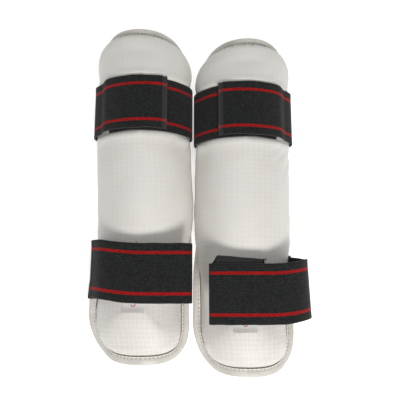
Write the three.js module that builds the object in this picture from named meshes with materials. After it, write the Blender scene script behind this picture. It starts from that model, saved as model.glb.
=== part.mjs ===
// A pair of padded shin guards lying side by side on their edges, front faces up.
// Millimetres, +Z up, +Y toward the knee end, the ground at z = 0. Each guard is a flat sewn
// pattern (a lining, a foam core and a cover, bound round the edge) bent into an arch that
// fits the shin. Elastic straps are sewn to its back, come round its edges and lie over its front.
import * as THREE from 'three';

// Flat pattern of one guard, tapered toward the foot end
const halfWidth = 57;
const footHalfWidth = 50;
const taperFrom = -107.5;
const taperTo = 0;
const kneeEnd = 152.5;
const footEnd = 156;
const kneeDepth = 40;
const footDepth = 48.5;
const kneeRoundness = 2.35;
const footRoundness = 2.8;
const sideStations = [-100, -87.5, -75, -62.5, -50, -37.5, -25, 0, 25, 50, 75, 100];
const endSegments = 14;
const spineHalf = 100;

// Layers, as heights above the back face of the lining
const liningTop = 1;
const coverThickness = 0.8;
const borderHeight = 2.1;
const bindingWidth = 7;
const seamInset = 9;
const shoulderInset = 27;
const kneeHeight = 14;
const footHeight = 12;
const kneeSwell = 13;
const footSwell = 22;
const crown = 1;
const foamGap = 0.5;
const gap = 0.3;

// Arch that the pattern is bent to, tight at the knee end and open at the foot end, where the
// border turns outward and lies nearly flat; the knee end rolls outward a little
const kneeRadius = 38;
const footRadius = 44;
const archFrom = -110;
const archTo = -35;
const flareInset = 17;
const flareRadius = 19;
const flareFrom = -115;
const flareTo = -5;
const rollFrom = 104;
const rollTo = 150;
const bindingReach = 1.5;
const bindingUnder = 1.3;
const edgeClearance = 1.6;

// Stations along a guard between which its centre line leans sideways
const leanStations = [-154, -112, -25, 42, 98, 154];

// Straps
const strapWidth = 50;
const strapThickness = 1.4;
const patchThickness = 0.8;
const strapCentre = 75;
const rootInset = 28;
const frontInset = 10.5;
const hingeInset = 19;
const flapEnd = -16.4;
const loopEnd = 22;
const patchReach = 16;
const tailLength = 45;

// Size label, sewn on below the lower strap
const labelLength = 15;
const labelThickness = 0.5;
const labelLift = 1;

const upperStations = [-1, 0, 1].map((side) => strapCentre + (side * strapWidth) / 2);
const lowerStations = [-1, -0.5, 0, 0.5, 1].map((side) => (side * strapWidth) / 2 - strapCentre);

const colours = {
  cover: { color: 0xdddbd6, roughness: 0.42, metalness: 0 },
  binding: { color: 0xe2dfda, roughness: 0.5, metalness: 0 },
  lining: { color: 0xc9c7c2, roughness: 0.9, metalness: 0 },
  foam: { color: 0xf0e6c8, roughness: 0.95, metalness: 0 },
  strap: { color: 0x262627, roughness: 0.85, metalness: 0 },
  hook: { color: 0x141414, roughness: 0.8, metalness: 0 },
  label: { color: 0xf4f3f0, roughness: 0.7, metalness: 0 },
};

// The two guards mirror each other: side is the direction of the outer edge along X
const guards = [
  {
    name: 'left',
    side: -1,
    place: [-49, 6.25, 0],
    lean: [-0.9, 3.6, -2.4, 0, 0, 0],
    kneeRoll: 0.12,
    strapLift: -1.5,
    leaves: 17,
    splay: 0,
    shoulder: [[43, 35], [40.8, 39.8]],
    over: [[40.5, 40.5], [31, 51.5], [14, 57.5], [-8, 59.8], [-30, 59.9], [-47.2, 58.4]],
    bandShift: 0,
    tailShift: 0,
    label: [-6, 8.5, -111.5],
  },
  {
    name: 'right',
    side: 1,
    place: [46, -3.75, 0],
    lean: [1.4, -1.2, -2.1, -1.2, -1.2, 0.5],
    kneeRoll: 0.09,
    strapLift: 2.5,
    leaves: 12,
    splay: 2,
    shoulder: [[49.5, 25], [52.65, 35.8]],
    over: [[52.7, 36.5], [48.7, 49], [36, 57], [17, 60.4], [-7, 61.2], [-32, 60]],
    bandShift: -9.5,
    tailShift: 8,
    label: [-8.5, 7.5, -118.5],
  },
];

const mix = THREE.MathUtils.lerp;
const clamp = THREE.MathUtils.clamp;
const smooth = THREE.MathUtils.smoothstep;

// ---- the arch ----

// 0 at the foot end, 1 from the middle to the knee end
function towardKnee(along) {
  return smooth(along, archFrom, archTo);
}

function halfWidthAt(along) {
  return mix(footHalfWidth, halfWidth, smooth(along, taperFrom, taperTo));
}

// Out and up from the arch's centre, and the slope there, for a place beside the spine
function onArch(across, along, height) {
  const radius = mix(footRadius, kneeRadius, towardKnee(along));
  const flare = 1 - smooth(along, flareFrom, flareTo);
  const arc = Math.min(across, halfWidthAt(along) - flareInset);
  const border = across - arc;
  const turn = border * mix(1 / radius, -1 / flareRadius, flare);
  const chord = Math.abs(turn) < 1e-6 ? border : (border * Math.sin(turn / 2)) / (turn / 2);
  const slope = arc / radius + turn;
  const middle = slope - turn / 2;
  return {
    out: radius * Math.sin(arc / radius) + chord * Math.cos(middle) + height * Math.sin(slope),
    up: radius * Math.cos(arc / radius) - chord * Math.sin(middle) + height * Math.cos(slope),
    slope,
  };
}

// How far the arch's centre is above the ground when the bound edge clears it
function archBaseAt(along) {
  const edge = onArch(halfWidthAt(along) + bindingReach, along, liningTop);
  return edgeClearance + (liningTop + bindingUnder) * Math.cos(edge.slope) - edge.up;
}

// Outward lean of the soft guard's centre line, eased from station to station
function leanAt(guard, along) {
  return leanStations.slice(1).reduce((lean, station, k) => {
    const change = guard.lean[k + 1] - guard.lean[k];
    return lean + change * smooth(along, leanStations[k], station);
  }, guard.lean[0]);
}

// A point of the flat pattern (across, along, height) bent onto the arch: out and up
function bend(guard, across, along, height) {
  const arch = onArch(Math.abs(across), along, height);
  const up = archBaseAt(along) + arch.up;
  const roll = guard.kneeRoll * smooth(along, rollFrom, rollTo) * up;
  return new THREE.Vector2(Math.sign(across) * arch.out + leanAt(guard, along) + roll, up);
}

// What reaches the ground is pressed flat on it
function inSpace(guard, flat, along) {
  return new THREE.Vector3(guard.side * flat.x, along, Math.max(flat.y, 0));
}

// ---- closed solids from shared corners ----

class Solid {
  constructor(guard) {
    this.mirrored = guard.side < 0;
    this.corners = new Map();
    this.points = [];
    this.faces = [];
  }

  corner(point) {
    const key = point.toArray().map((value) => value.toFixed(4)).join(' ');
    if (!this.corners.has(key)) {
      this.corners.set(key, this.corners.size);
      this.points.push(...point.toArray());
    }
    return this.corners.get(key);
  }

  triangle(a, b, c) {
    if (a === b || b === c || c === a) {
      return;
    }
    this.faces.push(...(this.mirrored ? [a, c, b] : [a, b, c]));
  }

  quad(a, b, c, d) {
    this.triangle(a, b, c);
    this.triangle(a, c, d);
  }

  mesh(name, look) {
    const geometry = new THREE.BufferGeometry();
    geometry.setAttribute('position', new THREE.Float32BufferAttribute(this.points, 3));
    geometry.setIndex(this.faces);
    geometry.computeVertexNormals();
    const mesh = new THREE.Mesh(geometry, new THREE.MeshStandardMaterial(colours[look]));
    mesh.name = name;
    return mesh;
  }
}

// ---- the sewn pattern ----

// Half an end's outline from one side to the other, rounder or squarer than an ellipse
function endCurve(share, roundness) {
  const turn = Math.PI * share;
  const square = (value) => Math.sign(value) * Math.abs(value) ** (2 / roundness);
  return [square(Math.cos(turn)), share === 1 ? 0 : square(Math.sin(turn))];
}

// Points round the edge, counter-clockwise from the foot end of the outer side
function patternEdge() {
  const ends = [
    [1, kneeEnd, kneeDepth, halfWidth, kneeRoundness],
    [-1, footEnd, footDepth, footHalfWidth, footRoundness],
  ];
  const points = ends.flatMap(([end, reach, depth, width, roundness]) => {
    const stations = end > 0 ? sideStations : [...sideStations].reverse();
    const side = stations.map((station) => (
      new THREE.Vector2(end * halfWidthAt(station), station)));
    const curve = Array.from({ length: endSegments + 1 }, (_, k) => {
      const [x, y] = endCurve(k / endSegments, roundness);
      return new THREE.Vector2(end * width * x, end * (reach - depth + depth * y));
    });
    return [...side, ...curve];
  });
  return points.map((at, k) => {
    const before = points[(k + points.length - 1) % points.length];
    const after = points[(k + 1) % points.length];
    const way = after.clone().sub(before).normalize();
    return { at, outward: new THREE.Vector2(way.y, -way.x) };
  });
}

const edge = patternEdge();

// A ring lies inset from the edge, or past the shoulder some way toward the spine
function ring(inset, inward = 0) {
  return { inset, inward };
}

function patternPoint(point, { inset, inward }) {
  const at = point.at.clone().addScaledVector(point.outward, -inset);
  return at.lerp(new THREE.Vector2(0, clamp(at.y, -spineHalf, spineHalf)), inward);
}

// Height of the cover's outer face: a flat border, then a swell that ends in a low crown
function coverHeight({ inset, inward }, along) {
  if (inset < seamInset) {
    return borderHeight;
  }
  const full = mix(footHeight, kneeHeight, towardKnee(along));
  const swell = mix(footSwell, kneeSwell, towardKnee(along));
  const left = 1 - clamp((inset - seamInset) / swell, 0, 1);
  return mix(borderHeight, full, Math.sqrt(1 - left * left)) + crown * inward;
}

const middleRings = [
  ring(19), ring(shoulderInset), ring(shoulderInset, 0.4667), ring(shoulderInset, 1),
];
const borderRings = [ring(0.3), ring(bindingWidth), ring(seamInset)];
const coverRings = [...borderRings, ring(10.5), ring(14), ...middleRings];
const foamRings = [ring(10.9), ring(14), ...middleRings];
const liningRings = [...borderRings, ring(10.9), ring(14), ...middleRings];

// A sheet of the pattern between two heights
function layer(guard, rings, lowAt, highAt) {
  const solid = new Solid(guard);
  const cornersAt = (heightAt) => rings.map((one) => edge.map((point) => {
    const flat = patternPoint(point, one);
    return solid.corner(inSpace(guard, bend(guard, flat.x, flat.y, heightAt(one, flat.y)), flat.y));
  }));
  const low = cornersAt(lowAt);
  const high = cornersAt(highAt);
  edge.forEach((_, i) => {
    const j = (i + 1) % edge.length;
    solid.quad(low[0][i], low[0][j], high[0][j], high[0][i]);
    for (let r = 0; r + 1 < rings.length; r += 1) {
      solid.quad(high[r][i], high[r][j], high[r + 1][j], high[r + 1][i]);
      solid.quad(low[r][i], low[r + 1][i], low[r + 1][j], low[r][j]);
    }
  });
  return solid;
}

// The binding folds over the edge: (outward, height) corners of its section
const bindingSection = [
  [-bindingWidth, -bindingUnder], [0, -bindingUnder], [bindingReach, 0], [bindingReach, 2.3], [0, 3.7],
  [-bindingWidth, 3.6], [-bindingWidth, 2.9], [0, 2.85], [0, -0.45], [-bindingWidth, -0.45],
];

function binding(guard) {
  const solid = new Solid(guard);
  const loops = edge.map((point) => bindingSection.map(([outward, height]) => {
    const flat = patternPoint(point, ring(-outward));
    return solid.corner(inSpace(guard, bend(guard, flat.x, flat.y, height), flat.y));
  }));
  loops.forEach((loop, i) => {
    const next = loops[(i + 1) % loops.length];
    loop.forEach((_, j) => {
      const k = (j + 1) % loop.length;
      solid.quad(loop[j], next[j], next[k], loop[k]);
    });
  });
  return solid;
}

// ---- straps ----

// Offset of a route to its right, joined at each bend
function offsetRoute(route, distance) {
  const sides = route.slice(1).map((point, k) => {
    const step = point.clone().sub(route[k]).normalize();
    return new THREE.Vector2(step.y, -step.x);
  });
  return route.map((point, k) => {
    const before = sides[Math.max(k - 1, 0)];
    const after = sides[Math.min(k, sides.length - 1)];
    const normal = before.clone().add(after).normalize();
    return point.clone().addScaledVector(normal, distance / Math.max(normal.dot(after), 0.7));
  });
}

// A ribbon runs from the outer side over the front; routeAt gives its inner face at a station
function ribbon(guard, stations, thickness, routeAt, shiftAt = () => 0) {
  const solid = new Solid(guard);
  const faces = stations.map((along) => {
    const route = routeAt(along);
    const share = (k) => k / (route.length - 1);
    const corner = (point, k) => solid.corner(inSpace(guard, point, along + shiftAt(share(k))));
    return { inner: route.map(corner), outer: offsetRoute(route, thickness).map(corner) };
  });
  const first = faces[0];
  const last = faces[faces.length - 1];
  const end = first.inner.length - 1;
  for (let k = 0; k < end; k += 1) {
    solid.quad(first.inner[k], first.outer[k], first.outer[k + 1], first.inner[k + 1]);
    solid.quad(last.inner[k], last.inner[k + 1], last.outer[k + 1], last.outer[k]);
  }
  for (let j = 0; j + 1 < faces.length; j += 1) {
    const { inner, outer } = faces[j];
    const next = faces[j + 1];
    for (let k = 0; k < end; k += 1) {
      solid.quad(outer[k], next.outer[k], next.outer[k + 1], outer[k + 1]);
      solid.quad(inner[k], inner[k + 1], next.inner[k + 1], next.inner[k]);
    }
    solid.quad(inner[0], next.inner[0], next.outer[0], outer[0]);
    solid.quad(inner[end], outer[end], next.outer[end], next.inner[end]);
  }
  return solid;
}

// Places across the front where a strap over it bends
const frontStations = [46.5, 43, 38, 30, 16, 0, -16, -30, -38, -43, -46.5];

function frontHeight(across, along) {
  const width = halfWidthAt(along);
  const inward = Math.max(0, 1 - Math.abs(across) / (width - shoulderInset));
  const inset = Math.min(width - Math.abs(across), shoulderInset);
  return coverHeight({ inset, inward }, along);
}

// Over the front from one place to another, lifted off the cover
function frontRoute(guard, from, to, liftAt) {
  const inside = frontStations.filter((across) => across < from - 0.5 && across > to + 0.5);
  return (along) => [from, ...inside, to].map((across) => (
    bend(guard, across, along, frontHeight(across, along) + liftAt(across))
  ));
}

// Round an edge of the guard, from the sewn root on the lining to the border's outer face
const wrapSection = [
  [-rootInset, -0.7], [-19, -0.7], [-9.5, -0.7], [-7.4, -1.7],
  [-0.2, -1.7], [1.9, -0.6], [1.9, 2.8], [-0.2, 4.1], [-7, 4.1],
];

function wrapRoute(guard, edgeSide, along) {
  const route = wrapSection.map(([outward, height]) => (
    bend(guard, edgeSide * (halfWidthAt(along) + outward), along, height)
  ));
  return edgeSide > 0 ? route : route.reverse();
}

// The lift of the layers where the upper straps lie on each other
const onCover = () => gap;
const patchLift = gap + strapThickness + gap;
const flapLift = patchLift + patchThickness + gap;
const overlapLift = (across) => (across > loopEnd + 3 ? gap : flapLift);

function upperStraps(guard) {
  const stations = upperStations.map((along) => along + guard.strapLift);
  const hinge = halfWidth - hingeInset;
  const baseFront = frontRoute(guard, halfWidth - frontInset, hinge + gap, onCover);
  const loopFront = frontRoute(guard, loopEnd, frontInset - halfWidth, onCover);
  const flapStart = frontRoute(guard, hinge, loopEnd + 8, onCover);
  const flapOver = frontRoute(guard, loopEnd + 2, flapEnd, overlapLift);
  const hookOver = frontRoute(guard, patchReach, -patchReach, () => patchLift);
  return {
    upper_strap_base: ribbon(guard, stations, strapThickness, (along) => (
      [...wrapRoute(guard, 1, along), ...baseFront(along)])),
    upper_loop_strap: ribbon(guard, stations, strapThickness, (along) => (
      [...loopFront(along), ...wrapRoute(guard, -1, along)])),
    upper_hook_flap: ribbon(guard, stations, strapThickness, (along) => (
      [...flapStart(along), ...flapOver(along)])),
    upper_hook_patch: ribbon(guard, stations, patchThickness, hookOver),
  };
}

// Insets at which the lower strap bends as it comes up the outer side
const hugInsets = [frontInset, 14, 19];

// The lower strap stands off the guard, and its end is folded back under it
function curveThrough(points, count) {
  return new THREE.SplineCurve(points).getPoints(count);
}

function lowerStraps(guard) {
  const splayAt = (along) => (guard.splay * (-along - strapCentre)) / strapWidth;
  const shifted = (points, along) => points.map(([out, up], k) => {
    const follow = 1 - k / (points.length - 1);
    return new THREE.Vector2(out + splayAt(along) * follow, up);
  });
  const sideRoute = (along) => {
    const width = halfWidthAt(along);
    const hug = [...hugInsets.filter((inset) => inset < guard.leaves), guard.leaves].map((inset) => (
      bend(guard, width - inset, along, frontHeight(width - inset, along) + gap)));
    const side = guard.shoulder.map(([out, up]) => new THREE.Vector2(out + splayAt(along), up));
    const free = curveThrough([hug[hug.length - 1], ...side], 5).slice(1);
    return [...wrapRoute(guard, 1, along), ...hug, ...free];
  };
  const overRoute = (along) => curveThrough(shifted(guard.over, along), 14);
  const foldedRoute = (drop, from, to) => (along) => {
    const fold = new THREE.SplineCurve(shifted(guard.over, along));
    const spaced = fold.getSpacedPoints(100).reverse();
    const length = fold.getLength();
    const share = (distance) => Math.round((100 * distance) / length);
    const steps = [0, 1, 2, 3, 4].map((k) => spaced[share(mix(from, to, k / 4))]);
    return steps.map((point) => new THREE.Vector2(point.x, point.y - drop));
  };
  const lean = (share) => guard.bandShift * smooth(share, 0, 0.6);
  const tailSlant = (share) => guard.bandShift + guard.tailShift * smooth(share, 0, 1);
  const tailDrop = gap + patchThickness + gap;
  return {
    lower_strap_base: ribbon(guard, lowerStations, strapThickness, sideRoute),
    lower_strap: ribbon(guard, lowerStations, strapThickness, overRoute, lean),
    lower_strap_tail: ribbon(
      guard, lowerStations, strapThickness, foldedRoute(tailDrop, 0, tailLength), tailSlant),
    lower_hook_patch: ribbon(
      guard, lowerStations, patchThickness, foldedRoute(gap, 4, tailLength - 4), tailSlant),
    lower_loop_tab: ribbon(guard, lowerStations, strapThickness, (along) => (
      [-40, -33, -24, -12, 0, 16].map((across) => bend(guard, across, along, -1.1))
    )),
  };
}

function sizeLabel(guard) {
  const [inner, outer, low] = guard.label;
  const route = frontRoute(guard, outer, inner, () => labelLift);
  return ribbon(guard, [low, low + labelLength], labelThickness, route);
}

// ---- the pair ----

function buildGuard(guard) {
  const onLining = () => liningTop + gap;
  const coverTop = coverHeight;
  const coverBottom = (one, along) => coverHeight(one, along) - coverThickness;
  const foamTop = (one, along) => coverBottom(one, along) - foamGap;
  const soft = {
    foam_core: [layer(guard, foamRings, onLining, foamTop), 'foam'],
    front_cover: [layer(guard, coverRings, coverBottom, coverTop), 'cover'],
    back_lining: [layer(guard, liningRings, () => 0, () => liningTop), 'lining'],
    edge_binding: [binding(guard), 'binding'],
    size_label: [sizeLabel(guard), 'label'],
  };
  const group = new THREE.Group();
  for (const [name, [solid, look]] of Object.entries(soft)) {
    group.add(solid.mesh(`${guard.name}_${name}`, look));
  }
  for (const [name, solid] of Object.entries({ ...upperStraps(guard), ...lowerStraps(guard) })) {
    const look = name.includes('patch') ? 'hook' : 'strap';
    group.add(solid.mesh(`${guard.name}_${name}`, look));
  }
  group.position.set(...guard.place);
  return group;
}

const pair = new THREE.Group();
for (const guard of guards) {
  pair.add(buildGuard(guard));
}

export default pair;
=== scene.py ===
"""A pair of padded shin guards: fabric, foam, binding, straps and stitching round the CAD frame.

Formulas work in the guard's own millimetres, as the frame's solids do: across the shin from the
spine of the guard outward, along it toward the knee, and height above the back of the lining.
Meshes are in metres. Each vertex keeps its place in the flat cut in the attribute "flat".
"""
import math
import bmesh
import bpy
import numpy as np
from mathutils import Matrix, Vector

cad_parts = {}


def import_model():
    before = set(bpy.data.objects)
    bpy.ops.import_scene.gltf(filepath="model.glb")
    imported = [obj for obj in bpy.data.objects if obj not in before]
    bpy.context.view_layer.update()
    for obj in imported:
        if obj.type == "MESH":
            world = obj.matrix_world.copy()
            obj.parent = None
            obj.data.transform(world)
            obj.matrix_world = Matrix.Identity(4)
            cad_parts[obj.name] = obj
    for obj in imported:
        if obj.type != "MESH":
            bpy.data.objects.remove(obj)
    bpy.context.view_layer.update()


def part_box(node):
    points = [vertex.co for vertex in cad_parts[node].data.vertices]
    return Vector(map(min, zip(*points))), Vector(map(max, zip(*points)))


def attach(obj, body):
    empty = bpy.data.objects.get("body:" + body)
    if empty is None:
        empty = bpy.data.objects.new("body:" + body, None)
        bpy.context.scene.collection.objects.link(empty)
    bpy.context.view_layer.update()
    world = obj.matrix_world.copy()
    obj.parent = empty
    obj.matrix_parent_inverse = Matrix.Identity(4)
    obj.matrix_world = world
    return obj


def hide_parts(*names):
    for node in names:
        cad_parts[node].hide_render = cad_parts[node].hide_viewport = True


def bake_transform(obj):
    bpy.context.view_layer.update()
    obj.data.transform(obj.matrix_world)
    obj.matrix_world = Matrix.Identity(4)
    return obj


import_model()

MM = 0.001

# Flat pattern of one guard
HALF_WIDTH = 57
FOOT_HALF_WIDTH = 50
TAPER_FROM = -107.5
TAPER_TO = 0
KNEE_END = 152.5
FOOT_END = 156
KNEE_DEPTH = 40
FOOT_DEPTH = 48.5
KNEE_ROUNDNESS = 2.35
FOOT_ROUNDNESS = 2.8

# Layers, as heights above the back face of the lining
LINING_TOP = 1
COVER_UNDERSIDE = 1.15
BORDER_HEIGHT = 2.1
BINDING_WIDTH = 6.1
SEAM_INSET = 9
SEAM_OVERHANG = 2.4
SHOULDER_INSET = 27
KNEE_HEIGHT = 14
FOOT_HEIGHT = 12
KNEE_SWELL = 13
FOOT_SWELL = 22
CROWN = 1

# Arch that the pattern is bent to
KNEE_RADIUS = 38
FOOT_RADIUS = 44
ARCH_FROM = -110
ARCH_TO = -35
FLARE_INSET = 17
FLARE_RADIUS = 19
FLARE_FROM = -115
FLARE_TO = -5
ROLL_FROM = 104
ROLL_TO = 150
BINDING_UNDER = 1.3
EDGE_CLEARANCE = 1.6
BINDING_REACH = 1.5
LEAN_STATIONS = [-154, -112, -25, 42, 98, 154]

# Straps
STRAP_WIDTH = 50
STRAP_THICKNESS = 1.4
PATCH_THICKNESS = 0.8
STRAP_CENTRE = 75
ROOT_INSET = 24
FLAP_END = -16.4
LOOP_END = 22
PATCH_REACH = 16
TAIL_LENGTH = 45
GAP = 0.3
STRIPE_FROM_EDGE = 8
STRIPE_WIDTH = 2.6
HEM_INSET = 2.6
HEM_WIDTH = 3.6
# What a folded hem adds to the height in "flat", so that the strap's look can paint its highlight
# there
HEM_HIGHLIGHT_MARK = 3

# Stitches round the binding
STITCH_PITCH = 3.6
STITCH_INSET = 4.7

# What differs between the two guards, in millimetres. A lower strap leaves the cover "leaves" inside
# the edge, passes the (out, up) places of "shoulder" and "over", and turns into the band between the
# heights "band_turns". The shifts move it along the guard: beside the guard, over it, and its tail.
# "label" holds the label's inner and outer side and its lower edge.
GUARDS = [
    dict(
        name="left", side=-1, lean=[-0.9, 3.6, -2.4, 0, 0, 0], knee_roll=0.12, strap_lift=-1.5,
        leaves=17, splay=0, shoulder=[(41.8, 35), (39.6, 39.8)], band_turns=(36, 46),
        over=[(39.3, 40.5), (30, 51.3), (14, 57.5), (-8, 59.8), (-28, 59.9), (-45, 58.4)],
        side_shift=2, band_shift=-2.5, tail_shift=(0, 0), label=(-6, 8.5, -111.5),
    ),
    dict(
        name="right", side=1, lean=[1.4, -1.2, -2.1, -1.2, -1.2, 0.5], knee_roll=0.09, strap_lift=2.5,
        leaves=12, splay=2, shoulder=[(49.5, 25), (52.65, 35.8)], band_turns=(32, 42),
        over=[(52.7, 36.5), (48.7, 49), (36, 57), (17, 60.4), (-7, 61.2), (-32, 60)],
        side_shift=-4.5, band_shift=-9.5, tail_shift=(7.5, 3.5), label=(-8.5, 7.5, -118.5),
    ),
]


# ---- small helpers ----

def smooth(value, low, high):
    """0 below low, 1 above high, eased between them; low may be the larger one."""
    t = np.clip((np.asarray(value, float) - low) / (high - low), 0, 1)
    return t * t * (3 - 2 * t)


def mix(a, b, t):
    return a + (b - a) * t


def bump_at(value, centre, width):
    """A soft bell of height 1."""
    return np.exp(-(((value - centre) / width) ** 2))


def unit(vectors):
    return vectors / np.linalg.norm(vectors, axis=1, keepdims=True)


def run_along(route):
    """How far each point of the route is from its start."""
    steps = np.linalg.norm(np.diff(route[:, :2], axis=0), axis=1)
    return np.concatenate([[0], np.cumsum(steps)])


def even_route(route, count):
    """The route with count points an even way apart."""
    run = run_along(route)
    at = np.linspace(0, run[-1], count)
    return np.stack([np.interp(at, run, column) for column in route.T], axis=1)


def ripple(x, y, seed):
    """A smooth wandering value of about -1 to 1, from a few sines at odd angles."""
    random = np.random.default_rng(seed)
    total = 0
    for _ in range(6):
        angle, phase, scale = random.uniform(0, [2 * math.pi, 2 * math.pi, 1])
        turn = (0.6 + scale) * (x * math.cos(angle) + y * math.sin(angle)) + phase
        total = total + np.sin(turn)
    return total / 3.5


# ---- the guard's arch ----

def toward_knee(along):
    return smooth(along, ARCH_FROM, ARCH_TO)


def lean_at(guard, along):
    lean = guard["lean"][0]
    for k, (low, high) in enumerate(zip(LEAN_STATIONS, LEAN_STATIONS[1:])):
        change = guard["lean"][k + 1] - guard["lean"][k]
        lean = lean + change * smooth(along, low, high)
    return lean


def half_width_at(along):
    return mix(FOOT_HALF_WIDTH, HALF_WIDTH, smooth(along, TAPER_FROM, TAPER_TO))


def on_arch(across, along, height):
    """Out and up from the middle of the arch, and the slope there, for a place beside the spine."""
    radius = mix(FOOT_RADIUS, KNEE_RADIUS, toward_knee(along))
    flare = smooth(along, FLARE_TO, FLARE_FROM)
    arc = np.minimum(across, half_width_at(along) - FLARE_INSET)
    border = across - arc
    turn = border * mix(1 / radius, -1 / FLARE_RADIUS, flare)
    chord = border * np.sinc(turn / (2 * math.pi))
    slope = arc / radius + turn
    out = radius * np.sin(arc / radius) + chord * np.cos(slope - turn / 2) + height * np.sin(slope)
    up = radius * np.cos(arc / radius) - chord * np.sin(slope - turn / 2) + height * np.cos(slope)
    return out, up, slope


def bend(guard, across, along, height):
    """A place in the flat pattern, bent onto the arch: how far out and how far up it is."""
    _, low, slope = on_arch(half_width_at(along) + BINDING_REACH, along, LINING_TOP)
    base = EDGE_CLEARANCE + (LINING_TOP + BINDING_UNDER) * np.cos(slope) - low
    out, up, _ = on_arch(np.abs(across), along, height)
    roll = guard["knee_roll"] * smooth(along, ROLL_FROM, ROLL_TO) * (base + up)
    return np.sign(across) * out + lean_at(guard, along) + roll, base + up


def in_space(guard, out, along, up):
    """Metres in the row's frame; what reaches the ground is pressed flat on it."""
    place = guard["place"]
    x = guard["side"] * out + place[0]
    return np.stack([x, along + place[1] + 0 * x, np.maximum(up, 0)], axis=-1) * MM


def on_guard(guard, across, along, height):
    """Metres in the frame for a place in the flat pattern."""
    out, up = bend(guard, across, along, height)
    return in_space(guard, out, along, up)


def cover_height(inset, inward, along):
    """Height of the cover's face: a flat border, then a swell that ends in a low crown."""
    full = mix(FOOT_HEIGHT, KNEE_HEIGHT, toward_knee(along))
    swell = mix(FOOT_SWELL, KNEE_SWELL, toward_knee(along))
    start = SEAM_INSET - SEAM_OVERHANG * smooth(abs(abs(along) - STRAP_CENTRE), 27, 36)
    left = 1 - np.clip((inset - start) / swell, 0, 1)
    rise = np.where(inset < start, 0, np.sqrt(1 - left ** 2))
    return mix(BORDER_HEIGHT, full, rise) + CROWN * (1 - (1 - inward) ** 2)


def front_height(across, along):
    """The cover's height on the straight part of the guard."""
    half_width = half_width_at(along)
    inward = np.maximum(0, 1 - np.abs(across) / (half_width - SHOULDER_INSET))
    inset = np.minimum(half_width - np.abs(across), SHOULDER_INSET)
    return cover_height(inset, inward, along)


def pattern_edge(side_steps, end_steps):
    """Points round the pattern's edge and the direction out of it, counter-clockwise."""
    points = []
    ends = (
        (1, KNEE_END, KNEE_DEPTH, HALF_WIDTH, KNEE_ROUNDNESS),
        (-1, FOOT_END, FOOT_DEPTH, FOOT_HALF_WIDTH, FOOT_ROUNDNESS),
    )
    low, high = FOOT_DEPTH - FOOT_END, KNEE_END - KNEE_DEPTH
    for end, reach, depth, half_width, roundness in ends:
        for along in np.linspace(low, high, side_steps, endpoint=False):
            y = along if end > 0 else low + high - along
            points.append((end * half_width_at(y), y))
        for turn in np.linspace(0, math.pi, end_steps, endpoint=False):
            x = math.copysign(abs(math.cos(turn)) ** (2 / roundness), math.cos(turn))
            y = math.sin(turn) ** (2 / roundness)
            points.append((end * half_width * x, end * (reach - depth + depth * y)))
    points = np.array(points)
    ways = np.roll(points, -1, axis=0) - np.roll(points, 1, axis=0)
    return points, unit(np.stack([ways[:, 1], -ways[:, 0]], axis=1))


def even_edge(step):
    """The same edge with points an even step apart, and the step that fits a whole number."""
    edge = np.hstack(pattern_edge(220, 120))
    edge = np.vstack([edge, edge[:1]])
    length = run_along(edge)[-1]
    count = round(length / step)
    edge = even_route(edge, count + 1)[:-1]
    return edge[:, :2], edge[:, 2:], length / count


# ---- meshes ----

def add_object(name, data):
    thing = bpy.data.objects.new(name, data)
    bpy.context.collection.objects.link(thing)
    return thing


def new_piece(name, points, faces, flat, material):
    mesh = bpy.data.meshes.new(name)
    mesh.from_pydata(np.asarray(points).reshape(-1, 3).tolist(), [], faces)
    attribute = mesh.attributes.new("flat", "FLOAT_VECTOR", "POINT")
    attribute.data.foreach_set("vector", np.asarray(flat, np.float32).ravel())
    shape = bmesh.new()
    shape.from_mesh(mesh)
    bmesh.ops.remove_doubles(shape, verts=shape.verts, dist=0.002 * MM)
    bmesh.ops.recalc_face_normals(shape, faces=shape.faces)
    if shape.calc_volume(signed=True) < 0:
        bmesh.ops.reverse_faces(shape, faces=shape.faces)
    shape.to_mesh(mesh)
    shape.free()
    mesh.shade_smooth()
    mesh.materials.append(material)
    piece = add_object(name, mesh)
    return piece


def grid_faces(rows, columns, rows_close=False):
    """Quads between neighbouring rows of vertices numbered row by row, each row a closed ring."""
    faces = []
    for i in range(rows if rows_close else rows - 1):
        for j in range(columns):
            a, b = i * columns, (i + 1) % rows * columns
            k = (j + 1) % columns
            faces.append((a + j, a + k, b + k, b + j))
    return faces


def apply_modifiers(piece):
    evaluated = piece.evaluated_get(bpy.context.evaluated_depsgraph_get())
    mesh = bpy.data.meshes.new_from_object(evaluated)
    piece.modifiers.clear()
    piece.data = mesh


def subdivide(piece, levels):
    modifier = piece.modifiers.new("subdivide", "SUBSURF")
    modifier.levels = levels
    apply_modifiers(piece)
    piece.data.shade_smooth()


def read_vectors(items, field):
    vectors = np.empty(len(items) * 3, np.float32)
    items.foreach_get(field, vectors)
    return vectors.reshape(-1, 3).astype(float)


def read_points(piece):
    return read_vectors(piece.data.vertices, "co")


def read_flat(piece):
    return read_vectors(piece.data.attributes["flat"].data, "vector")


def write_points(piece, points):
    piece.data.vertices.foreach_set("co", points.astype(np.float32).ravel())
    piece.data.update()


def place_guard(guard):
    """Where the guard stands, from the box of its lining in the frame."""
    low, high = (np.array(corner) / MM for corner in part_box(f"{guard['name']}_back_lining"))
    guard["place"] = (0, 0)
    edge, _ = pattern_edge(40, 20)
    own = on_guard(guard, edge[:, :1], edge[:, 1:], np.array([0, LINING_TOP])).reshape(-1, 3) / MM
    shift = (low + high) / 2 - (own.min(axis=0) + own.max(axis=0)) / 2
    guard["place"] = (shift[0], shift[1])


# ---- materials, from each vertex's place in the flat cut, in millimetres ----

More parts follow.
